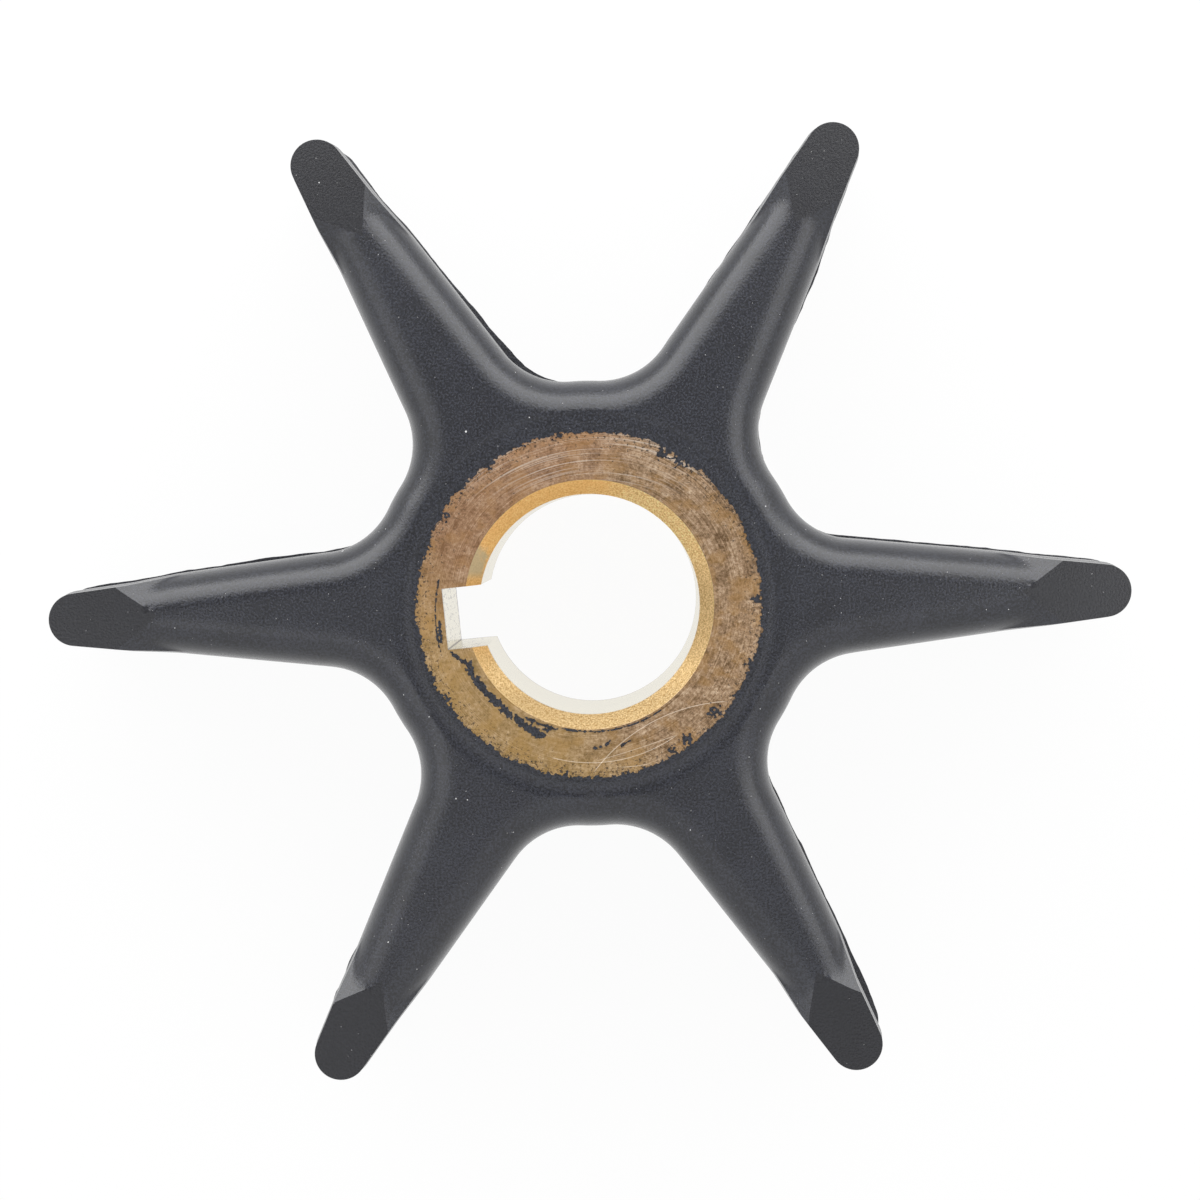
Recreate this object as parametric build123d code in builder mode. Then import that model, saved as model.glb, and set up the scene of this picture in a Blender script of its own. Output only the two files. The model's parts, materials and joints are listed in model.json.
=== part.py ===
from build123d import *
import math
import os

# Water-pump impeller of an outboard motor: a turned brass bush with a key slot,
# and one neoprene moulding with six tapered vanes bonded round it.
# Millimetres. +Z runs along the bore, z = 0 is the lower end face, and the first
# vane points along +X. The upper and lower halves are alike.

# Brass bush
height = 20.0
bore_diameter = 14.3
bore_chamfer = 0.95
bush_wall = 4.25
key_slot_width = 3.97
key_slot_depth = 2.25
key_slot_angle = 184.5

# Rubber hub and vanes, as they measure at the end faces
vane_count = 6
tip_circle_diameter = 70.0
hub_wall = 3.0
vane_root_width = 7.8
vane_root_round = 5.2
vane_tip_round = 1.7
edge_round = 1.6

# Flat wiping land at each vane tip, with a nose that points at the hub
land_length = 4.3
land_nose_length = 1.6
land_run_out_angle = 33.0

# Values worked out from the ones above
bore_radius = bore_diameter / 2
bush_radius = bore_radius + bush_wall
hub_radius = bush_radius + hub_wall
tip_radius = tip_circle_diameter / 2
tip_centre = tip_radius - vane_tip_round
land_start = tip_radius - land_length
arm_end = (land_start + tip_centre) / 2


def angle_of_flanks():
    """Lean of each flank that runs from the root width to touch the tip round."""
    reach = tip_centre - hub_radius
    root_half = vane_root_width / 2
    root_to_centre = math.hypot(root_half, reach)
    return math.acos(vane_tip_round / root_to_centre) - math.atan2(reach, root_half)


flank_angle = angle_of_flanks()


def half_width(radius):
    """Half the vane's width at the end face, that far from the bore's axis."""
    at_centre = vane_tip_round / math.cos(flank_angle)
    return at_centre + math.tan(flank_angle) * (tip_centre - radius)


def run_out_plane(side, upwards):
    """Leaning plane that ends a land on one side, on a line of its V-shaped nose."""
    nose_half = half_width(land_start - land_nose_length) - vane_edge_round
    nose_angle = math.atan2(half_width(land_start) - nose_half, land_nose_length)
    lean = math.radians(land_run_out_angle)
    outwards = Vector(-math.sin(nose_angle), side * math.cos(nose_angle), 0)
    face_height = height if upwards > 0 else 0
    return Plane(
        origin=(land_start, side * half_width(land_start), face_height),
        z_dir=outwards * math.cos(lean) + Vector(0, 0, upwards * math.sin(lean)),
    )


def largest_root_round():
    """Root round at which the rounds of two neighbouring vanes would just meet."""
    half_pitch = math.pi / vane_count
    flank_distance = half_width(0) * math.cos(flank_angle)
    turn = math.sin(flank_angle + half_pitch)
    return (turn * hub_radius - flank_distance) / (1 - turn)


root_round = min(vane_root_round, 0.95 * largest_root_round())
vane_edge_round = min(edge_round, 0.95 * half_width(arm_end))

# Brass bush: turned, bored, chamfered at the bore mouths and broached for the key
with BuildPart() as brass_bush:
    with BuildSketch():
        Circle(bush_radius)
        Circle(bore_radius, mode=Mode.SUBTRACT)
    extrude(amount=height)
    rims = brass_bush.edges().filter_by(GeomType.CIRCLE).group_by(SortBy.RADIUS)
    chamfer(rims[0], bore_chamfer)
    with BuildSketch(Plane.XY.rotated((0, 0, key_slot_angle))):
        slot_reach = bore_radius + key_slot_depth
        Rectangle(slot_reach, key_slot_width, align=(Align.MIN, Align.CENTER))
    extrude(amount=height, mode=Mode.SUBTRACT)
brass_bush.part.label = "brass_bush"

# One vane with square edges: straight flanks that touch a round tip
with BuildPart() as square_vane:
    with BuildSketch():
        touch_radius = tip_centre + vane_tip_round * math.sin(flank_angle)
        touch_half = vane_tip_round * math.cos(flank_angle)
        with BuildLine():
            Line((0, half_width(0)), (touch_radius, touch_half))
            ThreePointArc((touch_radius, touch_half), (tip_radius, 0), (touch_radius, -touch_half))
            Line((touch_radius, -touch_half), (0, -half_width(0)))
            Line((0, -half_width(0)), (0, half_width(0)))
        make_face()
    extrude(amount=height)

# Tip with its two wiping lands: the square vane, run out to the rounded edges on a V
with BuildPart() as tip:
    add(square_vane.part)
    for side in (1, -1):
        for upwards in (1, -1):
            split(bisect_by=run_out_plane(side, upwards), keep=Keep.BOTTOM)

# Moulding: hub and vanes with rounded edges, square tips, and the bush's space left out
with BuildPart() as rubber_body:
    with BuildSketch() as star:
        Circle(hub_radius)
        with PolarLocations(0, vane_count):
            Polygon(
                (0, half_width(0)),
                (0, -half_width(0)),
                (arm_end, -half_width(arm_end)),
                (arm_end, half_width(arm_end)),
                align=None,
            )
        root_corners = star.vertices().filter_by(
            lambda corner: math.hypot(corner.X, corner.Y) < hub_radius + 0.01
        )
        fillet(root_corners, root_round)
    extrude(amount=height)
    face_edges = rubber_body.edges().filter_by(Plane.XY)
    vane_ends = face_edges.filter_by(
        lambda edge: math.hypot(edge.center().X, edge.center().Y) > arm_end - 0.01
    )
    fillet(face_edges - vane_ends, vane_edge_round)
    with PolarLocations(0, vane_count):
        add(tip.part)
    with BuildSketch():
        Circle(bush_radius)
    extrude(amount=height, mode=Mode.SUBTRACT)
rubber_body.part.label = "rubber_body"

os.makedirs("parts", exist_ok=True)
export_step(brass_bush.part, "parts/brass_bush.step")
export_step(rubber_body.part, "parts/rubber_body.step")
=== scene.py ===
import json
import math

import bmesh
import bpy
from mathutils import Matrix, Vector, noise


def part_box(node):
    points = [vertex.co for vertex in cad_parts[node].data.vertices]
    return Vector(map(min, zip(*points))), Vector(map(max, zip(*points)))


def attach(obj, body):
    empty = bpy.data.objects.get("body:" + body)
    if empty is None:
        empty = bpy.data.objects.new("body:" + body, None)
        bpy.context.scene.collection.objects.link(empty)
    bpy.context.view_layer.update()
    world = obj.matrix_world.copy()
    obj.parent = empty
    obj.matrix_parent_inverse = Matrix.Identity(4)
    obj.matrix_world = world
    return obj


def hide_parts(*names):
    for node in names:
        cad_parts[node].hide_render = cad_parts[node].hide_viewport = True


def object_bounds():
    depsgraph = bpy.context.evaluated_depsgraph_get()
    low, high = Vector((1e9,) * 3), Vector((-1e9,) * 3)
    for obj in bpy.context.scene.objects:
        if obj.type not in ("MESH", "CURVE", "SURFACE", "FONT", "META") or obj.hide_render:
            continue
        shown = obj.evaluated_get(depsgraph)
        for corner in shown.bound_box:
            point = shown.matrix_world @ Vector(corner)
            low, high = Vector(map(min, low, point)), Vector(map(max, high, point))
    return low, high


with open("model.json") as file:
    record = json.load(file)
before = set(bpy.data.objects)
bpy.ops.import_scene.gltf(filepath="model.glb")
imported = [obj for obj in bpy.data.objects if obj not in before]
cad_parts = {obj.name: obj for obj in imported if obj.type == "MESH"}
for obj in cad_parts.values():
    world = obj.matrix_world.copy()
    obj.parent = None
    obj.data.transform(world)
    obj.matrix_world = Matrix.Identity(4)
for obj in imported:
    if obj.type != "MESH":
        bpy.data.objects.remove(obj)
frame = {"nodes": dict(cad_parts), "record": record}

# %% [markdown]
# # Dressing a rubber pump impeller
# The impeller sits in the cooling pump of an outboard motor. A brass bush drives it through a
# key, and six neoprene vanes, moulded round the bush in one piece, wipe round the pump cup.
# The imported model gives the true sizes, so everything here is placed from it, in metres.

MM = 0.001

cad_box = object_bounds()
mounts = {mount["name"]: mount for mount in frame["record"]["mounts"]}
height = cad_box[1].z
mid_height = height / 2
tip_radius = cad_box[1].x
bush_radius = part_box("brass_bush")[1].x
bore_radius = mounts["shaft_bore"]["dims"]["r_mm"] * MM
bore_length = mounts["shaft_bore"]["dims"]["length_mm"] * MM
chamfer_radius = bore_radius + (height - bore_length) / 2
vane_count = 6
print("height", height, "tip radius", tip_radius, "bush radius", bush_radius)

# %% [markdown]
# An operator acts on whatever is selected. These helpers deselect everything first and then
# pick parts of a mesh by their place, as a modeller does with the mouse.

# %% Helpers for picking parts of a mesh
def take_up(piece):
    """Makes one piece the only selected and the active one."""
    bpy.ops.object.select_all(action="DESELECT")
    piece.select_set(True)
    bpy.context.view_layer.objects.active = piece


def start_shaping(piece, kind="VERT"):
    """Goes into edit mode on one piece with nothing picked."""
    take_up(piece)
    bpy.ops.object.mode_set(mode="EDIT")
    bpy.ops.mesh.select_mode(type=kind)
    bpy.ops.mesh.select_all(action="DESELECT")


def stop_shaping():
    """Goes back to object mode, which writes the edits into the mesh."""
    bpy.ops.object.mode_set(mode="OBJECT")


def pick_edges(piece, wanted):
    """In edit mode, picks the edges whose two ends pass the test, and counts them."""
    shape = bmesh.from_edit_mesh(piece.data)
    for edge in shape.edges:
        edge.select_set(wanted(edge.verts[0].co, edge.verts[1].co))
    shape.select_flush_mode()
    bmesh.update_edit_mesh(piece.data)
    return sum(edge.select for edge in shape.edges)


def pick_faces(piece, wanted):
    """In edit mode, picks the faces whose centre passes the test, and counts them."""
    shape = bmesh.from_edit_mesh(piece.data)
    for face in shape.faces:
        face.select_set(wanted(face.calc_center_median()))
    shape.select_flush_mode()
    bmesh.update_edit_mesh(piece.data)
    return sum(face.select for face in shape.faces)


def apply_modifier(piece, name, kind, **settings):
    """Adds a modifier, sets it up and applies it."""
    take_up(piece)
    modifier = piece.modifiers.new(name, kind)
    for key, value in settings.items():
        setattr(modifier, key, value)
    bpy.ops.object.modifier_apply(modifier=modifier.name)


def from_axis(place):
    """How far a place is from the axis of the bore."""
    return math.hypot(place.x, place.y)


# %% [markdown]
# The photograph looks straight down the bore from about a quarter of a metre, a little above
# and right of the centre, so the wall of the bore shows at its lower left only. The camera
# stands there and is tilted to the middle of the frame. The first vane points almost to the
# right, and the camera is rolled by the small angle that is left.

# %% Camera
camera_height = 258 * MM
camera_right, camera_up = 3.28 * MM, 6.69 * MM
frame_middle_right, frame_middle_up = 0.69 * MM, 0.29 * MM
frame_width = 77.5 * MM
picture_turn = Matrix.Rotation(math.radians(-1.44), 3, "Z")


def on_picture(right, up, level):
    """The place so far right and up of the bore's axis in the photograph, at one level."""
    place = picture_turn @ Vector((right, up, 0))
    place.z = level
    return place


def aim(thing, target, up):
    """Points a camera or a lamp at a place, with its top towards up."""
    ahead = (target - thing.location).normalized()
    side = ahead.cross(up).normalized()
    axes = Matrix((side, side.cross(ahead), -ahead)).transposed()
    thing.rotation_euler = axes.to_euler()


camera = bpy.data.objects.new("camera", bpy.data.cameras.new("camera"))
bpy.context.scene.collection.objects.link(camera)
camera.location = on_picture(camera_right, camera_up, height + camera_height)
aim(camera, on_picture(frame_middle_right, frame_middle_up, height), on_picture(0, 1, 0))
camera.data.lens = camera.data.sensor_width * camera_height / frame_width
bpy.context.scene.camera = camera
bpy.context.scene.view_settings.view_transform = "Standard"
print("lens", round(camera.data.lens, 1), "mm")

# %% [markdown]
# A pattern is a sum of simple maths on the place of a point: how far it is from the axis, or
# what a noise says there. Each sum could be wired by hand from Math nodes. Here a small class
# wraps a socket, so that plain Python such as 1 - mask * 0.5 adds those nodes.

# %% A class for shader maths
class Signal:
    """A number that changes over a surface, as the output socket that carries it."""

    def __init__(self, finish, socket):
        self.finish = finish
        self.socket = socket

    def maths(self, operation, *values):
        """A Math node on this signal and other values."""
        inputs = dict(enumerate((self, *values)))
        return self.finish.node("ShaderNodeMath", {"operation": operation}, inputs).out(0)

    def __add__(self, other):
        return self.maths("ADD", other)

    def __radd__(self, other):
        return self.maths("ADD", other)

    def __sub__(self, other):
        return self.maths("SUBTRACT", other)

    def __rsub__(self, other):
        return self.maths("MULTIPLY", -1.0).maths("ADD", other)

    def __mul__(self, other):
        return self.maths("MULTIPLY", other)

    def __rmul__(self, other):
        return self.maths("MULTIPLY", other)

    def __truediv__(self, other):
        return self.maths("DIVIDE", other)

    def rise(self, low, high):
        """0 below low, 1 above high and a smooth step between them."""
        settings = {"interpolation_type": "SMOOTHSTEP"}
        inputs = {"Value": self, "From Min": low, "From Max": high}
        return self.finish.node("ShaderNodeMapRange", settings, inputs).out("Result")


class Placed:
    """A node in a finish, with its outputs at hand as signals."""

    def __init__(self, finish, shader_node):
        self.finish = finish
        self.shader_node = shader_node

    def out(self, key):
        """One output of the node, by its name or number."""
        return Signal(self.finish, self.shader_node.outputs[key])


class Finish:
    """A node tree: the look of a surface, or of the world round it."""

    def __init__(self, owner):
        owner.use_nodes = True
        self.owner = owner
        self.tree = owner.node_tree
        self.tree.nodes.clear()

    def node(self, kind, settings=None, inputs=None):
        """Adds a node, then its settings, then the values or links of its sockets."""
        shader_node = self.tree.nodes.new(kind)
        for key, value in (settings or {}).items():
            setattr(shader_node, key, value)
        for key, value in (inputs or {}).items():
            if isinstance(value, Signal):
                self.tree.links.new(value.socket, shader_node.inputs[key])
            else:
                shader_node.inputs[key].default_value = value
        return Placed(self, shader_node)

    def place(self):
        """The place of a point of the surface, in millimetres."""
        return self.scaled(self.node("ShaderNodeTexCoord").out("Object"), 1 / MM)

    def noise(self, place, scale, detail=2.0, roughness=0.5):
        """Soft noise between 0 and 1, with so many bumps to a millimetre."""
        inputs = {"Vector": place, "Scale": scale, "Detail": detail, "Roughness": roughness}
        return self.node("ShaderNodeTexNoise", None, inputs).out("Fac")

    def blend(self, mask, first, second):
        """The first colour where the mask is 0 and the second where it is 1."""
        mixer = self.node("ShaderNodeMix", {"data_type": "RGBA"}, {0: mask, 6: first, 7: second})
        return mixer.out(2)

    def scaled(self, colour, share):
        """A colour, or a place, times one factor."""
        inputs = {0: colour, "Scale": share}
        return self.node("ShaderNodeVectorMath", {"operation": "SCALE"}, inputs).out(0)

    def surface(self, **inputs):
        """The shader of the surface, and the end of the tree."""
        named = {key.replace("_", " "): value for key, value in inputs.items()}
        shader = self.node("ShaderNodeBsdfPrincipled", None, named).out("BSDF")
        self.node("ShaderNodeOutputMaterial", None, {"Surface": shader})


def new_finish(name):
    """An empty material and its finish."""
    return Finish(bpy.data.materials.new(name))


def give_finish(piece, finish):
    """Puts one finish on a whole piece."""
    piece.data.materials.clear()
    piece.data.materials.append(finish.owner)


# %% [markdown]
# The photograph has a white background without a shadow. The floor is white to the camera and
# in the metal's reflections, and a small share of it is plain matte white, which keeps the
# soft shadow of the impeller. It lies a hair under the lower face: two surfaces at exactly the
# same place would flicker through each other.

# %% Floor
floor_size = 2.0
floor_gap = 0.02 * MM
shadow_share = 0.05
white = (1.0, 1.0, 1.0, 1.0)
matte_white = (0.8, 0.8, 0.8, 1.0)

bpy.ops.mesh.primitive_plane_add(size=floor_size, location=(0, 0, -floor_gap))
floor = bpy.context.active_object
floor.name = "floor"
bpy.ops.object.transform_apply(location=True)

floor_finish = new_finish("white_floor")
light_path = floor_finish.node("ShaderNodeLightPath")
seen = light_path.out("Is Camera Ray") + light_path.out("Is Glossy Ray")
seen = (seen + light_path.out("Is Transmission Ray")).rise(0.0, 1.0)
matte = floor_finish.node("ShaderNodeBsdfDiffuse", None, {"Color": matte_white}).out(0)
glow = floor_finish.node("ShaderNodeEmission", None, {"Strength": 1.0}).out(0)
shares = {0: seen * (1 - shadow_share), 1: matte, 2: glow}
mixed = floor_finish.node("ShaderNodeMixShader", None, shares).out(0)
floor_finish.node("ShaderNodeOutputMaterial", None, {"Surface": mixed})
give_finish(floor, floor_finish)

# %% [markdown]
# The studio is a white room lit from all round. In the photograph the flat crowns are darker than
# the flanks, so little light comes from straight above, where a camera hangs. The world is dimmed
# there, and is brighter low down beyond the top of the picture, like a wide window.

# %% World
even_light = 0.96
window_light = 0.88
overhead_shade = 0.8
shade_direction = Vector((0, 0.235, 0.972))
shade_starts, shade_full = 0.925, 0.98
window_starts, window_full = 0.2, 0.8
window_foot, window_head = 0.3, 0.8


def light_the_room():
    """Soft light from all round, dim overhead and brighter at one side, white to the camera."""
    room = Finish(bpy.data.worlds.new("room"))
    bpy.context.scene.world = room.owner
    direction = room.node("ShaderNodeTexCoord").out("Generated")
    parts = room.node("ShaderNodeSeparateXYZ", None, {0: direction})
    overhead = parts.out("Z") * shade_direction.z + parts.out("Y") * shade_direction.y
    shade = overhead.rise(shade_starts, shade_full)
    low_down = 1 - parts.out("Z").rise(window_foot, window_head)
    window = parts.out("Y").rise(window_starts, window_full) * low_down
    strength = even_light + window * window_light - shade * overhead_shade
    path = room.node("ShaderNodeLightPath").out("Is Camera Ray")
    shown = path + (1 - path) * strength
    glow = room.node("ShaderNodeBackground", None, {"Color": white, "Strength": shown}).out(0)
    room.node("ShaderNodeOutputWorld", None, {"Surface": glow})


light_the_room()

# %% [markdown]
# Three soft boxes put the long highlights on the flanks of the vanes. The strong one stands
# beyond the top of the picture, and two weak ones lift its left and its right side.

# %% Lamps
# Right and up of the bore and above the floor, width and depth, all in metres, and watts
soft_boxes = {
    "upper_lamp": (-0.01, 0.092, 0.10, 0.30, 0.12, 0.235),
    "left_lamp": (-0.075, -0.02, 0.10, 0.10, 0.05, 0.009),
    "right_lamp": (0.08, 0.01, 0.10, 0.10, 0.05, 0.019),
}


def soft_lamp(name, right, up, level, width, depth, power):
    """A soft box aimed at the impeller from one side of the picture."""
    lamp = bpy.data.objects.new(name, bpy.data.lights.new(name, "AREA"))
    bpy.context.scene.collection.objects.link(lamp)
    lamp.data.shape = "RECTANGLE"
    lamp.data.size = width
    lamp.data.size_y = depth
    lamp.data.energy = power
    lamp.location = on_picture(right, up, level)
    aim(lamp, Vector((0, 0, mid_height)), Vector((0, 1, 0.01)))
    print(name, "at", [round(part, 2) for part in lamp.location])


for name, values in soft_boxes.items():
    soft_lamp(name, *values)

# %% [markdown]
# ## The moulding
# The hub and the six vanes are one neoprene moulding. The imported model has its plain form, with
# rounded edges. The real skin is domed: it curves without a break from the crown of each vane
# to the parting line at mid height, and only the land at the tip is flat. Beveling the packed
# mesh can't do that, so half a vane is laid out as a net whose cross lines run square to the
# outline. The net is raised to the dome, and the rest of the moulding is mirrored and copied.

# %% Sizes of the moulding
hub_wall = 3.0 * MM
root_half_width = 3.9 * MM
root_round = 5.2 * MM
tip_round = 1.7 * MM
draft = 0.14 * MM
merge_distance = 0.001 * MM

vane_step = math.tau / vane_count
hub_radius = bush_radius + hub_wall
tip_centre = tip_radius - tip_round
vane_reach = tip_centre - hub_radius
to_root_corner = math.hypot(root_half_width, vane_reach)
flank_lean = math.acos(tip_round / to_root_corner) - math.atan2(vane_reach, root_half_width)
flank_turn = math.pi / 2 - flank_lean
flank_distance = tip_round + tip_centre * math.sin(flank_lean)
root_distance = hub_radius + root_round
root_turn = flank_turn - math.acos((flank_distance + root_round) / root_distance)
print("flanks lean", round(math.degrees(flank_lean), 2), "degrees")

# %% Outline of half a vane
hub_steps = 3
root_steps = 9
flank_steps = 38
tip_steps = 12


def facing(turn):
    """The direction at one angle in the plane of the end face."""
    return Vector((math.cos(turn), math.sin(turn)))


def steps_between(first, last, count):
    """Even steps from one value to another, the first left out."""
    return [first + (last - first) * step / count for step in range(1, count + 1)]


root_middle = facing(root_turn) * root_distance
tip_middle = Vector((tip_centre, 0))
to_rim_corner = root_middle - Vector((bush_radius, 0))
rim_corner_turn = math.atan2(to_rim_corner.y, to_rim_corner.x)


def outline_of_half_a_vane():
    """Points from the middle of a gap to the tip, each with the direction it faces."""
    half_gap = vane_step / 2
    hub_turns = [half_gap] + steps_between(half_gap, root_turn, hub_steps)
    outline = [(facing(turn) * hub_radius, facing(turn)) for turn in hub_turns]
    root_turns = steps_between(root_turn, rim_corner_turn, root_steps)
    root_turns += steps_between(rim_corner_turn, flank_turn, root_steps)
    outline += [(root_middle - facing(turn) * root_round, facing(turn)) for turn in root_turns]
    flank_start = outline[-1][0]
    flank_end = tip_middle + facing(flank_turn) * tip_round
    for share in steps_between(0, 1, flank_steps):
        outline.append((flank_start.lerp(flank_end, share), facing(flank_turn)))
    for turn in steps_between(flank_turn, 0, tip_steps):
        outline.append((tip_middle + facing(turn) * tip_round, facing(turn)))
    return outline


def reach_inwards(place, outwards):
    """How far it is from the outline straight in to the bush or to the centre line."""
    faces_along_vane = outwards.y < 0.001
    if faces_along_vane:
        return tip_round
    to_centre_line = place.y / outwards.y
    towards = place.dot(outwards)
    under_root = towards ** 2 - place.length_squared + bush_radius ** 2
    if under_root < 0:
        return to_centre_line
    return min(to_centre_line, towards - math.sqrt(under_root))


# %% Flat net of half a vane
edge_rows = 5
net_rows = 21
first_row_share = 0.44


def row_depth(row, reach):
    """How far inside the parting line a row lies: rows are closer where the skin is steep."""
    if row <= edge_rows:
        return draft * (row / edge_rows) ** 2
    share = (row - edge_rows) / (net_rows - edge_rows)
    return draft + reach * share * (first_row_share + (1 - first_row_share) * share)


outline = outline_of_half_a_vane()
net_columns = len(outline) - 1
bpy.ops.object.select_all(action="DESELECT")
bpy.ops.mesh.primitive_grid_add(x_subdivisions=net_columns, y_subdivisions=net_rows, size=1)
moulding = bpy.context.active_object
moulding.name = "rubber_moulding"
for point in moulding.data.vertices:
    place, outwards = outline[round((point.co.x + 0.5) * net_columns)]
    row = round((point.co.y + 0.5) * net_rows)
    depth = row_depth(row, reach_inwards(place, outwards))
    point.co = (place + outwards * (draft - depth)).to_3d()
start_shaping(moulding)
bpy.ops.mesh.select_all(action="SELECT")
bpy.ops.mesh.remove_doubles(threshold=merge_distance)
stop_shaping()
print("net of", net_columns, "columns and", net_rows, "rows")

# %% [markdown]
# The land is the flat end of a vane, which wipes the pump cup. The mould cuts it off on a line
# that points at the hub like a V and runs it out to the dome on a short slope. The net is cut
# on that line with a bisect, so that the line stays sharp when the net is raised.

# %% Dome and land
land_line_start = Vector((29.07 * MM, 0.84 * MM))
land_line_direction = Vector((1.33, 1.0)).normalized()
land_run_out = math.radians(33)
land_softness = 0.15 * MM
dome_width = 2.74 * MM
dome_fall = 3.0 * MM


def behind_land_line(spot):
    """How far a spot lies on the hub's side of the land's line."""
    from_start = spot - land_line_start
    return from_start.y * land_line_direction.x - from_start.x * land_line_direction.y


def depth_inside(spot):
    """How far a spot of half a vane lies inside the parting line."""
    along_flank = spot.x * math.cos(flank_lean) - spot.y * math.sin(flank_lean)
    if along_flank > tip_centre * math.cos(flank_lean):
        return tip_round + draft - (spot - tip_middle).length
    if math.atan2(spot.y, spot.x) > root_turn:
        return hub_radius + draft - spot.length
    if along_flank < root_middle.x * math.cos(flank_lean) - root_middle.y * math.sin(flank_lean):
        return (spot - root_middle).length - root_round + draft
    return flank_distance + draft - spot.dot(facing(flank_turn))


def skin_height(spot):
    """Height of the skin above mid height at one spot of half a vane."""
    depth = depth_inside(spot)
    share = min(max(1 - depth / dome_width, 0.0), 1.0)
    dome = mid_height - dome_fall * (1 - math.sqrt(1 - share ** 3))
    behind = behind_land_line(spot)
    slope = mid_height - max(behind, 0.0) * math.tan(land_run_out)
    land = min(slope, mid_height * depth / draft)
    softness = min(max(behind, 0.0) / 2, land_softness)
    return min((dome + land + math.hypot(dome - land, softness)) / 2, mid_height)


start_shaping(moulding)
bpy.ops.mesh.select_all(action="SELECT")
bpy.ops.mesh.bisect(
    plane_co=land_line_start.to_3d(),
    plane_no=(land_line_direction.y, -land_line_direction.x, 0),
    threshold=merge_distance,
)
bpy.ops.mesh.select_mode(type="FACE")
bpy.ops.mesh.select_face_by_sides(number=4, type="GREATER")
bpy.ops.mesh.quads_convert_to_tris()
stop_shaping()
for point in moulding.data.vertices:
    point.co.z = skin_height(point.co.xy)
highest = max(point.co.z for point in moulding.data.vertices)
print("half a vane", len(moulding.data.polygons), "faces, rises", round(highest / MM, 2), "mm")

# %% [markdown]
# The net is still a thin skin. Its open edges are extruded and squashed flat onto the parting
# line, which makes the walls. Mirror modifiers add the other flank and the underside, and the
# vane is copied and turned for the other five, so that what repeats is modelled only once.

# %% Walls, mirrored half and underside
def on_a_wall(place):
    """Whether a place of the raised net is on the outline or on the rim of the bush."""
    on_outline = depth_inside(place.xy) < merge_distance
    return on_outline or from_axis(place) < bush_radius + merge_distance


start_shaping(moulding, "EDGE")
walls = pick_edges(moulding, lambda first, second: on_a_wall(first) and on_a_wall(second))
bpy.ops.mesh.extrude_region_move()
bpy.ops.transform.resize(value=(1, 1, 0), center_override=(0, 0, 0))
stop_shaping()
for name, axes in (("other flank", (False, True, False)), ("underside", (False, False, True))):
    apply_modifier(moulding, name, "MIRROR", use_axis=axes, merge_threshold=merge_distance)
print("one vane", len(moulding.data.polygons), "faces, walls on", walls, "edges")

# %% The other vanes
start_shaping(moulding)
bpy.ops.mesh.select_all(action="SELECT")
for vane in range(vane_count - 1):
    bpy.ops.mesh.duplicate()
    bpy.ops.transform.rotate(value=vane_step, orient_axis="Z", center_override=(0, 0, 0))
bpy.ops.mesh.select_all(action="SELECT")
bpy.ops.mesh.remove_doubles(threshold=merge_distance)
bpy.ops.mesh.normals_make_consistent(inside=False)
bpy.ops.transform.translate(value=(0, 0, mid_height))
stop_shaping()
across = round(moulding.dimensions.x / MM, 2)
print("moulding", len(moulding.data.polygons), "faces,", across, "mm across")

# %% [markdown]
# Round the bush the mould has left a shallow ring in the rubber. It could be painted on with a
# bump, but a real dip catches the light from every side. So a torus with a very thick tube is set
# over the face, and a Boolean takes out of the rubber what little of the tube reaches below it.

# %% Shallow ring round the bush
ring_radius = bush_radius + 0.75 * MM
ring_width = 1.2 * MM
ring_depth = 0.035 * MM
steps_round_bore = 180
steps_round_tube = 96


def press_ring(piece):
    """Cuts the shallow ring into the upper face of the moulding."""
    tube = (ring_width ** 2 / 4 + ring_depth ** 2) / (2 * ring_depth)
    bpy.ops.object.select_all(action="DESELECT")
    bpy.ops.mesh.primitive_torus_add(
        location=(0, 0, height - ring_depth + tube),
        major_radius=ring_radius,
        minor_radius=tube,
        major_segments=steps_round_bore,
        minor_segments=steps_round_tube,
    )
    cutter = bpy.context.active_object
    apply_modifier(piece, "ring", "BOOLEAN", operation="DIFFERENCE", object=cutter)
    bpy.data.objects.remove(cutter)


press_ring(moulding)
print("moulding", len(moulding.data.polygons), "faces with its ring")

# %% [markdown]
# The lands are matte, so their faces are marked for the finish while the vanes are still even.
# Rubber vanes never come out quite even. Each one is then turned a fraction of a degree to the
# direction that it has in the photograph, and its tip a little further. The turn fades out in
# the hub.

# %% Mark on the lands
flat_enough = 0.95


def on_a_land(face):
    """Whether a face is part of the flat land at a vane's tip."""
    radius = from_axis(face.center)
    angle = math.atan2(face.center.y, face.center.x)
    off_centre = abs(angle - round(angle / vane_step) * vane_step)
    is_flat = abs(face.normal.z) > flat_enough
    return is_flat and behind_land_line(facing(off_centre) * radius) < 0


land_mask = moulding.data.attributes.new("land", "FLOAT", "FACE")
for face in moulding.data.polygons:
    land_mask.data[face.index].value = float(on_a_land(face))
print("lands have", sum(mark.value > 0 for mark in land_mask.data), "faces")

# %% Small turns of the vanes
# Degrees, counter-clockwise from the vane that points to the right
vane_turns = (0.28, 0.24, 0.04, -0.06, -0.14, 0.42)
tip_turns = (-0.17, 0.23, 0.38, 0.34, -0.23, -0.57)
turned_from = 12 * MM
turned_fully = 18 * MM
tip_turned_from = 27 * MM
tip_turned_fully = 30 * MM


def share_between(value, first, last):
    """How far a value is on its way from one limit to another, from 0 to 1."""
    return min(max((value - first) / (last - first), 0.0), 1.0)


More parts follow.
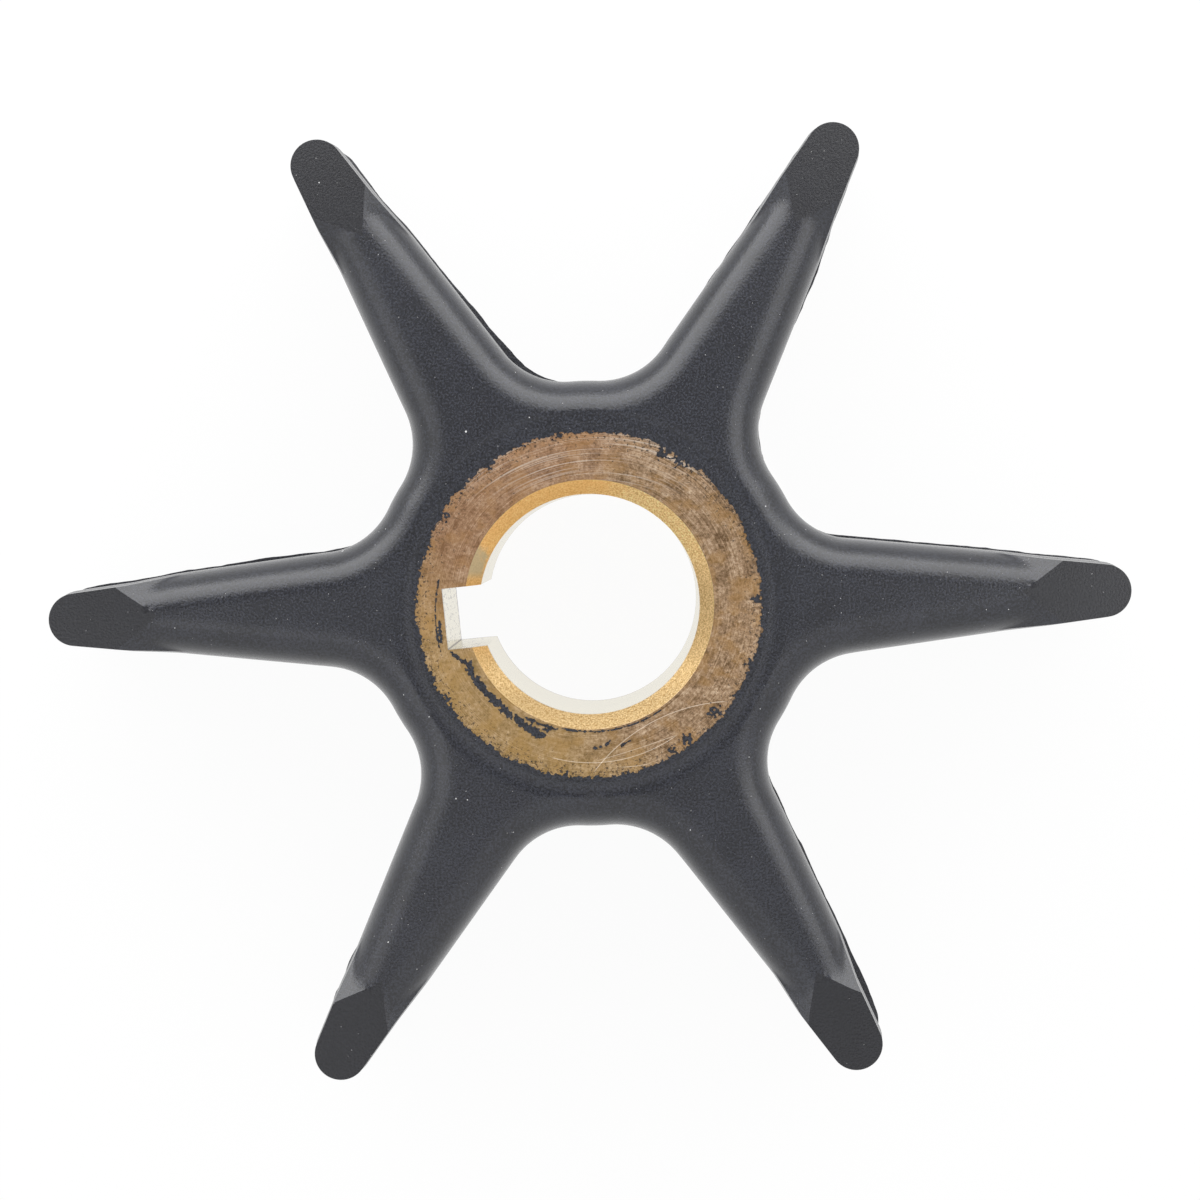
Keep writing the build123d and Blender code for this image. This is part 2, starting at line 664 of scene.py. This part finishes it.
def turn_vanes(piece):
    """Turns each vane counter-clockwise about the bore by its own few tenths of a degree."""
    for point in piece.data.vertices:
        radius = from_axis(point.co)
        vane = round(math.atan2(point.co.y, point.co.x) / vane_step) % vane_count
        turn = vane_turns[vane] * share_between(radius, turned_from, turned_fully)
        turn += tip_turns[vane] * share_between(radius, tip_turned_from, tip_turned_fully)
        point.co.rotate(Matrix.Rotation(math.radians(turn), 3, "Z"))


turn_vanes(moulding)

# %% [markdown]
# Where the two halves of the mould met, a thin fin of rubber squeezed out. It runs right round
# at mid height and is uneven. The line at mid height is copied off the moulding, cut into short
# lengths, pushed out by a soft noise and given a thickness.

# %% Flash on the parting line
flash_reach = 0.14 * MM
flash_least = 0.03 * MM
flash_wave = 1.6 * MM
flash_ripple = 0.5 * MM
flash_thickness = 0.07 * MM
flash_edge_share = 0.5
flash_root = 0.05 * MM
flash_step = 0.5 * MM

# Wider tongues of flash: picture angle in degrees, then distance from the axis, spread and
# extra reach in millimetres
flash_tongues = (
    (108, 16.8, 2.6, 0.30),
    (112, 21.0, 1.8, 0.14),
    (59, 26.0, 3.5, 0.16),
    (42, 15.5, 2.0, 0.15),
    (305, 31.0, 2.6, 0.30),
    (178, 22.0, 3.0, 0.12),
    (357, 27.3, 0.5, 0.12),
    (359, 32.9, 0.5, 0.15),
    (236, 29.2, 0.5, 0.10),
    (237, 31.6, 0.5, 0.14),
)


def on_parting_line(place):
    """Whether a place is on the outer wall at mid height."""
    return abs(place.z - mid_height) < merge_distance and from_axis(place) > bush_radius + MM


def polar_place(angle, radius, level):
    """The place at one picture angle in degrees and one distance in millimetres."""
    turn = math.radians(angle)
    return on_picture(radius * MM * math.cos(turn), radius * MM * math.sin(turn), level)


def flash_width(place):
    """How far the flash stands out of the wall at one place."""
    wave = noise.noise(place / flash_wave) * 0.5 + noise.noise(place / flash_ripple) * 0.25
    width = flash_reach * (0.8 + wave)
    for angle, radius, spread, extra in flash_tongues:
        gap = (place - polar_place(angle, radius, place.z)).length / (spread * MM)
        width += extra * MM * math.exp(-gap * gap)
    return max(width, flash_least)


def copy_parting_line(piece, name):
    """The line round a piece at mid height, as a new piece without faces."""
    start_shaping(piece, "EDGE")
    pick_edges(piece, lambda first, second: on_parting_line(first) and on_parting_line(second))
    bpy.ops.mesh.duplicate()
    bpy.ops.mesh.separate(type="SELECTED")
    stop_shaping()
    line = next(made for made in bpy.context.selected_objects if made is not piece)
    line.name = name
    return line


def split_long_edges(piece, longest):
    """Halves the edges of a piece until none is longer than that."""
    start_shaping(piece, "EDGE")
    while pick_edges(piece, lambda first, second: (second - first).length > longest):
        bpy.ops.mesh.subdivide(number_cuts=1)
    stop_shaping()


def push_out_flash(piece, inner_count):
    """Moves each point of the outer edge out by its own width, and thins the edge."""
    points = piece.data.vertices
    for number in range(inner_count):
        inner = points[number]
        outer = points[number + inner_count]
        outwards = (outer.co - inner.co).normalized()
        outer.co += outwards * (flash_width(outer.co) - flash_root)
        outer.co.z = mid_height + (inner.co.z - mid_height) * flash_edge_share


flash = copy_parting_line(moulding, "parting_flash")
split_long_edges(flash, flash_step)
start_shaping(flash, "EDGE")
bpy.ops.mesh.select_all(action="SELECT")
bpy.ops.mesh.extrude_region_move(TRANSFORM_OT_translate={"value": (0, 0, flash_thickness)})
bpy.ops.mesh.select_all(action="SELECT")
bpy.ops.transform.translate(value=(0, 0, -flash_thickness / 2))
bpy.ops.mesh.normals_make_consistent(inside=True)
bpy.ops.transform.shrink_fatten(value=-flash_root)
stop_shaping()
strip_points = len(flash.data.vertices)
apply_modifier(flash, "fin", "SOLIDIFY", thickness=2 * flash_root, offset=1.0)
push_out_flash(flash, strip_points)
start_shaping(flash)
bpy.ops.mesh.select_all(action="SELECT")
bpy.ops.mesh.normals_make_consistent(inside=False)
stop_shaping()
across = round(flash.dimensions.x / MM, 2)
print("flash", len(flash.data.polygons), "faces,", across, "mm across")

# %% [markdown]
# The skin is shaded smooth now that the flash has been copied off it. A strip that is separated
# from a smooth piece keeps that piece's normals, and they would turn the flash black.

# %% Smooth shading
crease_angle = 25
film_crease_angle = 50


def shade(piece, degrees):
    """Smooth shading with crisp creases, in which flat faces stay flat."""
    take_up(piece)
    bpy.ops.object.shade_smooth_by_angle(angle=math.radians(degrees))
    apply_modifier(piece, "flats", "WEIGHTED_NORMAL", keep_sharp=True)


shade(moulding, crease_angle)
shade(flash, crease_angle)

# %% [markdown]
# In the mould some rubber crept over the rim of the brass and tore when the part came out. It
# is a film a few hundredths of a millimetre thick with a ragged edge, with smears further in.
# Painting it on the brass would lose its step. A fine polar net is laid on the face instead,
# its cells are deleted where the brass is bare, and what is left gets a thickness.

# %% Where rubber is left on the brass
film_edge = bush_radius - 0.24 * MM
film_wave = 0.9 * MM
film_rags = 0.2 * MM
film_flecks = 0.13 * MM
fleck_level = 0.38
film_cell = 0.06 * MM
film_thickness = 0.04 * MM
film_overlap = 0.12 * MM

# Broad tears that reach inwards: picture angle in degrees, then distance from the axis and half
# width in millimetres
film_tears = (
    (64, 10.9, 0.62),
    (58, 10.95, 0.45),
    (100, 11.1, 0.45),
    (126, 11.1, 0.42),
    (149, 11.2, 0.55),
    (160, 11.15, 0.45),
    (214, 11.2, 0.5),
    (262, 11.2, 0.45),
    (300, 10.85, 0.3),
    (306, 10.8, 0.42),
    (320, 10.8, 0.58),
    (340, 10.95, 0.3),
    (2, 10.8, 0.3),
)

# Smears across the brass, and a thin dark line along the outer edge of the chamfer at the lower
# side: first and last picture angle in degrees, then first and last distance from the axis and
# half width in millimetres
film_smears = (
    (199.5, 206, 9.4, 8.85, 0.13),
    (206, 222, 8.8, 8.75, 0.19),
    (222, 240, 8.72, 8.82, 0.22),
    (240, 250, 8.85, 8.95, 0.20),
    (241, 254, 8.4, 8.3, 0.09),
    (250, 256, 8.6, 8.25, 0.10),
    # A thin dark line along the outer edge of the chamfer at the lower side
    (256, 304, 8.2, 8.26, 0.05),
    (272.5, 278.5, 9.3, 9.05, 0.12),
    (283, 286.5, 9.35, 9.2, 0.10),
    (170.5, 173, 8.0, 7.95, 0.12),
    (171, 199, 9.85, 10.1, 0.05),
    (187, 195, 9.75, 9.9, 0.10),
)


def near_smear(place, smear, roughness):
    """Whether a place is under one smear, whose sides wander."""
    first_angle, last_angle, first_radius, last_radius, half_width = smear
    turned = picture_turn.inverted() @ place
    angle = math.degrees(math.atan2(turned.y, turned.x)) % 360
    share = (angle - first_angle) / (last_angle - first_angle)
    inside = min(max(share, 0.0), 1.0)
    nearest_angle = first_angle + inside * (last_angle - first_angle)
    nearest_radius = first_radius + inside * (last_radius - first_radius)
    nearest = polar_place(nearest_angle, nearest_radius, place.z)
    return (place - nearest).length < half_width * MM * (1 + roughness)


def rubber_lies_on(place):
    """Whether rubber covers the brass at one place of the end face."""
    coarse = noise.noise(place / film_wave)
    fine = noise.noise(place / film_rags + Vector((7, 3, 0)))
    flecks = noise.noise(place / film_flecks + Vector((2, 9, 0)))
    inside_edge = (film_edge - from_axis(place)) / MM
    past_edge = inside_edge < coarse * 0.2 + fine * 0.22
    on_fleck = flecks > fleck_level + max(inside_edge, 0) * 0.55
    if past_edge or on_fleck:
        return True
    for angle, radius, half_width in film_tears:
        gap = (place - polar_place(angle, radius, place.z)).length
        if gap < half_width * MM * (0.6 + 0.7 * coarse + 1.2 * fine):
            return True
    roughness = 1.1 * coarse + 1.5 * fine
    return any(near_smear(place, smear, roughness) for smear in film_smears)


# %% Film of rubber on the brass
def lay_net(name, inner, outer, cell, level):
    """A flat polar net between two radii, with cells of about one size."""
    bpy.ops.object.select_all(action="DESELECT")
    steps = round(math.tau * (inner + outer) / 2 / cell)
    bpy.ops.mesh.primitive_circle_add(vertices=steps, radius=inner, location=(0, 0, level))
    net = bpy.context.active_object
    net.name = name
    bpy.ops.object.transform_apply(location=True)
    start_shaping(net, "EDGE")
    bpy.ops.mesh.select_all(action="SELECT")
    bpy.ops.mesh.extrude_region_move()
    share = outer / inner
    bpy.ops.transform.resize(value=(share, share, 1))
    halfway = (inner + outer) / 2

    def runs_outwards(first, second):
        return (from_axis(first) > halfway) != (from_axis(second) > halfway)

    pick_edges(net, runs_outwards)
    bpy.ops.mesh.subdivide(number_cuts=round((outer - inner) / cell) - 1)
    bpy.ops.mesh.select_all(action="SELECT")
    bpy.ops.mesh.normals_make_consistent(inside=False)
    stop_shaping()
    return net


def drop_touching_corners():
    """In edit mode, deletes the points where cells touch only at a corner, and loose ends."""
    bpy.ops.mesh.select_mode(type="VERT")
    bpy.ops.mesh.select_all(action="DESELECT")
    bpy.ops.mesh.select_non_manifold(use_wire=False, use_boundary=False, use_multi_face=False)
    bpy.ops.mesh.delete(type="VERT")
    bpy.ops.mesh.select_all(action="SELECT")
    bpy.ops.mesh.delete_loose()


film_start = chamfer_radius + 0.03 * MM
film_end = bush_radius + film_overlap
film = lay_net("rubber_film", film_start, film_end, film_cell, height)
net_faces = len(film.data.polygons)
start_shaping(film, "FACE")
pick_faces(film, lambda place: not rubber_lies_on(place))
bpy.ops.mesh.delete(type="FACE")
drop_touching_corners()
bpy.ops.mesh.select_all(action="SELECT")
bpy.ops.mesh.vertices_smooth(factor=0.5, repeat=1, zaxis=False)
stop_shaping()
apply_modifier(film, "film", "SOLIDIFY", thickness=film_thickness, offset=1.0)
shade(film, film_crease_angle)
print("film keeps", len(film.data.polygons), "faces of a net of", net_faces)

# %% [markdown]
# ## Finishes
# The neoprene is satin charcoal with a bluish cast. Its lands, which the mould cuts off sharp,
# are matte. A fine leathery grain breaks up the gloss, and white dust lies here and there. The
# dust is one Voronoi pattern in three sizes: the middle of a cell is a speck if the cell's own
# random number says so.

# %% Finish of the rubber
rubber_black = (0.002, 0.002, 0.004, 1)
rubber_charcoal = (0.020, 0.022, 0.031, 1)
land_black = (0.004, 0.004, 0.006, 1)
rubber_ior = 1.62
grain_per_millimetre = 7.0
grain_height = 0.04 * MM

# Dust: specks to a millimetre, largest radius in millimetres, share that is there, grey
dust_kinds = (
    (2.6, 0.04, 0.5, 0.16),
    (1.3, 0.05, 0.4, 0.40),
    (0.5, 0.09, 0.5, 0.60),
)


def dust(finish, place, per_millimetre, size, share):
    """Specks of dust: how many to a millimetre, how large, and the share that is there."""
    cell = finish.node(
        "ShaderNodeTexVoronoi",
        {"feature": "F1"},
        {"Vector": place, "Scale": per_millimetre},
    )
    pick = finish.node("ShaderNodeSeparateColor", None, {0: cell.out("Color")})
    reach = pick.out("Green") * (size * per_millimetre)
    is_there = pick.out("Red").maths("LESS_THAN", share)
    return reach.maths("GREATER_THAN", cell.out("Distance")) * is_there


def finish_rubber():
    """Satin charcoal, matte on the lands, with leathery grain and dust."""
    finish = new_finish("moulded_neoprene")
    place = finish.place()
    land = finish.node("ShaderNodeAttribute", {"attribute_name": "land"}).out("Fac")
    mottle = finish.noise(place, 0.35, 4.0)
    grain = finish.noise(place, grain_per_millimetre, 3.0, 0.65)
    tone = mottle * 0.6 + (grain - 0.5) * 3.2 + 0.2
    colour = finish.blend(tone.rise(0.0, 1.0), rubber_black, rubber_charcoal)
    colour = finish.blend(land * 0.7, colour, land_black)
    for per_millimetre, size, share, grey in dust_kinds:
        specks = dust(finish, place, per_millimetre, size, share)
        colour = finish.blend(specks, colour, (grey, grey, grey, 1))
    relief = {"Strength": 0.5, "Distance": grain_height, "Height": grain}
    normal = finish.node("ShaderNodeBump", None, relief).out("Normal")
    roughness = 0.13 + grain * 0.16 + land * 0.02
    finish.surface(Base_Color=colour, Roughness=roughness, IOR=rubber_ior, Normal=normal)
    return finish


rubber = finish_rubber()

# %% [markdown]
# The brass was turned on a lathe, so its face has fine rings round the bore. It has tarnished
# brown and pitted since, and a few scratches show bright metal. The chamfer and the walls of
# the bore and of the key slot were cut last and stay golden and pale.

# %% Parts of the bush as masks
class BushPlace:
    """Where a point of the bush is, in millimetres, and which cut it belongs to."""

    def __init__(self, finish):
        self.spot = finish.place()
        parts = finish.node("ShaderNodeSeparateXYZ", None, {0: self.spot})
        self.across = parts.out("X")
        self.along = parts.out("Y")
        self.radius = (self.across * self.across + self.along * self.along).maths("SQRT")
        middle = mid_height / MM
        self.from_middle = (parts.out("Z") - middle).maths("ABSOLUTE")
        self.face = self.from_middle.rise(middle - 0.04, middle - 0.01)
        below = middle - self.from_middle
        off_cone = (chamfer_radius / MM - self.radius - below).maths("ABSOLUTE")
        self.chamfer = (1 - off_cone.rise(0.01, 0.05)) * (1 - self.face)
        self.finish = finish

    def rings(self, centre, per_millimetre):
        """Noise drawn out into rings about one centre, as a turning tool leaves them."""
        off_across = self.across - centre[0]
        off_along = self.along - centre[1]
        distance = (off_across * off_across + off_along * off_along).maths("SQRT")
        spun = self.finish.node(
            "ShaderNodeCombineXYZ",
            None,
            {0: distance * per_millimetre, 1: off_across / distance, 2: off_along / distance},
        )
        return self.finish.noise(spun.out(0), 1.0, 4.0, 0.6)

    def arc(self, centre, radius, half_width, first_across, last_across):
        """A thin scratch on the lower half: part of a circle between two places across."""
        off_across = self.across - centre[0]
        off_along = self.along - centre[1]
        distance = (off_across * off_across + off_along * off_along).maths("SQRT")
        line = 1 - (distance - radius).maths("ABSOLUTE").rise(0.0, half_width)
        past_first = self.across.rise(first_across, first_across + 0.4)
        past_last = self.across.rise(last_across - 0.4, last_across)
        return line * past_first * (1 - past_last) * (1 - self.along.rise(-1.0, 0.0))


# %% Finish of the face
tarnish_dark = (0.14, 0.085, 0.045, 1)
tarnish_brown = (0.36, 0.24, 0.145, 1)
worn_brass = (0.62, 0.47, 0.33, 1)
amber_stain = (0.36, 0.205, 0.075, 1)
copper_red = (0.42, 0.20, 0.11, 1)
old_gold = (0.46, 0.31, 0.10, 1)
painted_highlight_grey = (0.72, 0.64, 0.55, 1)
pit_black = (0.035, 0.028, 0.024, 1)
bare_metal = (0.85, 0.72, 0.58, 1)
turned_centre = (0.0, 0.0)
highlight_rings_centre = (0.6, -2.2)

# Scratches in millimetres: centre and radius of the arc, half width, first and last place across
scratches = (
    ((9.02, -17.92), 11.44, 0.035, -0.07, 8.77),
    ((0.06, -0.62), 9.62, 0.030, -2.82, 5.55),
    ((1.79, -0.98), 9.59, 0.025, 1.62, 3.76),
    ((-15.81, 53.33), 65.45, 0.022, 0.14, 5.55),
)


def face_colour(finish, bush):
    """Colour and height of brown tarnish with rings, pits and scratches, with painted highlights
    on the rings near the top and painted shade darkening the face towards the top.
    """
    mottle = finish.noise(bush.spot, 1.1, 4.0, 0.6)
    speckle = finish.noise(bush.spot, 5.0, 4.0, 0.7)
    turned = bush.rings(turned_centre, 16.0)
    tone = mottle * 0.8 + speckle * 1.0 + turned * 0.7 - 0.75
    colour = finish.blend(tone.rise(0.25, 0.6), tarnish_dark, tarnish_brown)
    colour = finish.blend(tone.rise(0.5, 0.85), colour, worn_brass)
    amber = finish.noise(bush.spot, 0.6, 4.0, 0.6).rise(0.46, 0.62)
    colour = finish.blend(amber * 0.5, colour, amber_stain)
    patch = finish.noise(bush.spot, 0.28, 3.0) * 8.0
    redder = (bush.along - bush.across + patch).rise(8.0, 16.0)
    golden = (0 - bush.across - bush.along + patch).rise(8.0, 16.0)
    colour = finish.blend(redder * 0.28, colour, copper_red)
    colour = finish.blend(golden * 0.35, colour, old_gold)
    # Painted highlight: pale grey arcs on rings about a centre below the bore, only near the top
    # of the face
    painted_ring_highlights = bush.rings(highlight_rings_centre, 11.0).rise(0.50, 0.66) * bush.along.rise(6.5, 9.5)
    colour = finish.blend(painted_ring_highlights * 0.65, colour, painted_highlight_grey)
    pitted = finish.noise(bush.spot, 4.2, 5.0, 0.75) + bush.radius.rise(9.4, 11.4) * 0.09
    colour = finish.blend(pitted.rise(0.60, 0.66) * 0.85, colour, pit_black)
    for scratch in scratches:
        colour = finish.blend(bush.arc(*scratch) * 0.8, colour, bare_metal)
    # Painted shade: the face's colour is scaled down towards the top of the picture
    share = 1.02 - bush.along.rise(-4.0, 6.0) * 0.14
    return finish.scaled(colour, share), tone - pitted.rise(0.6, 0.7) * 0.6


# %% Finish of the chamfer
gold_dark = (0.46, 0.29, 0.11, 1)
gold_bright = (0.88, 0.66, 0.36, 1)
gold_orange = (0.70, 0.36, 0.09, 1)
gold_tarnished = (0.38, 0.36, 0.26, 1)


def chamfer_colour(finish, bush):
    """Colour and height of granular gold, more orange at the upper left, with painted reflection:
    lighter towards the top and darker at the bottom.
    """
    grit = finish.noise(bush.spot, 9.0, 3.0, 0.65)
    blotch = finish.noise(bush.spot, 0.8, 3.0)
    colour = finish.blend(grit.rise(0.3, 0.7), gold_dark, gold_bright)
    upper_left = (bush.along - bush.across * 1.2 + blotch * 3.0).rise(4.5, 9.0)
    colour = finish.blend(upper_left * 0.5, colour, gold_orange)
    tarnish = (0 - bush.across + blotch * 2.0).rise(7.6, 8.1) * bush.along.rise(1.6, 2.4)
    colour = finish.blend(tarnish * 0.7, colour, gold_tarnished)
    # Painted reflection and shade: the gold is scaled from 0.66 at the bottom to 1.4 at the top
    # of the picture
    share = 0.66 + bush.along.rise(-6.5, -4.0) * 0.30 + bush.along.rise(0.0, 4.0) * 0.44
    return finish.scaled(colour, share), grit


# %% Finish of the bore and the slot
wall_pale = (0.80, 0.745, 0.58, 1)
wall_dark = (0.13, 0.09, 0.06, 1)
slot_turn = math.radians(184.5)
slot_floor = 9.4
slot_half_width = 1.98
broach_stretch = (1.0, 1.0, 0.15)


def wall_colour(finish, bush):
    """Pale broached metal with dark flecks and a brown line along each end, and painted shade in
    the slot's inner corners.
    """
    out = bush.across * math.cos(slot_turn) + bush.along * math.sin(slot_turn)
    aside = bush.along * math.cos(slot_turn) - bush.across * math.sin(slot_turn)
    in_slot = out.rise(bore_radius / MM + 0.3, bore_radius / MM + 0.5)
    drawn_out = {0: bush.spot, 1: broach_stretch}
    stroke = finish.node("ShaderNodeVectorMath", {"operation": "MULTIPLY"}, drawn_out).out(0)
    flecks = finish.noise(stroke, 3.4, 4.0, 0.75).rise(0.55, 0.61)
    dashes = finish.noise(bush.spot, 2.0, 3.0).rise(0.42, 0.55)
    at_floor = out.rise(slot_floor - 0.12, slot_floor - 0.04)
    at_side = aside.maths("ABSOLUTE").rise(slot_half_width - 0.12, slot_half_width - 0.04)
    slot_end = bush.from_middle.rise(mid_height / MM - 1.5, mid_height / MM - 0.6)
    bore_end = bush.from_middle.rise(bore_length / MM / 2 - 1.0, bore_length / MM / 2 - 0.5)
    # Painted shade: at_floor * at_side darkens the inner corners where the slot's floor meets its
    # sides
    dark = flecks * 0.8 + slot_end * (0.3 + dashes * 0.9) + at_floor * at_side
    dark = dark * in_slot + bore_end * (1 - in_slot) * 0.5
    return finish.blend(dark.rise(0.0, 1.3), wall_pale, wall_dark)


# %% Finish of the whole bush
brass_relief = 0.03 * MM


def finish_brass():
    """Tarnished turned face, golden chamfer, pale walls."""
    finish = new_finish("turned_brass")
    bush = BushPlace(finish)
    face, face_height = face_colour(finish, bush)
    gold, grit = chamfer_colour(finish, bush)
    colour = finish.blend(bush.chamfer, wall_colour(finish, bush), gold)
    colour = finish.blend(bush.face, colour, face)
    roughness = 0.22 + bush.face * 0.20 + bush.chamfer * 0.2
    height_map = face_height * bush.face * 0.7 + grit * bush.chamfer
    relief = {"Strength": 0.6, "Distance": brass_relief, "Height": height_map}
    normal = finish.node("ShaderNodeBump", None, relief).out("Normal")
    finish.surface(Base_Color=colour, Metallic=1.0, Roughness=roughness, Normal=normal)
    return finish


brass = finish_brass()
bush = frame["nodes"]["brass_bush"]
give_finish(bush, brass)

# %% [markdown]
# Every new piece gets its finish and rides on the only body. The moulding stands for the plain
# rubber solid of the imported model, which is hidden.

# %% Finishes and bodies of the new pieces
for piece in (moulding, flash, film):
    give_finish(piece, rubber)
    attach(piece, "root")
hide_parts("rubber_body")
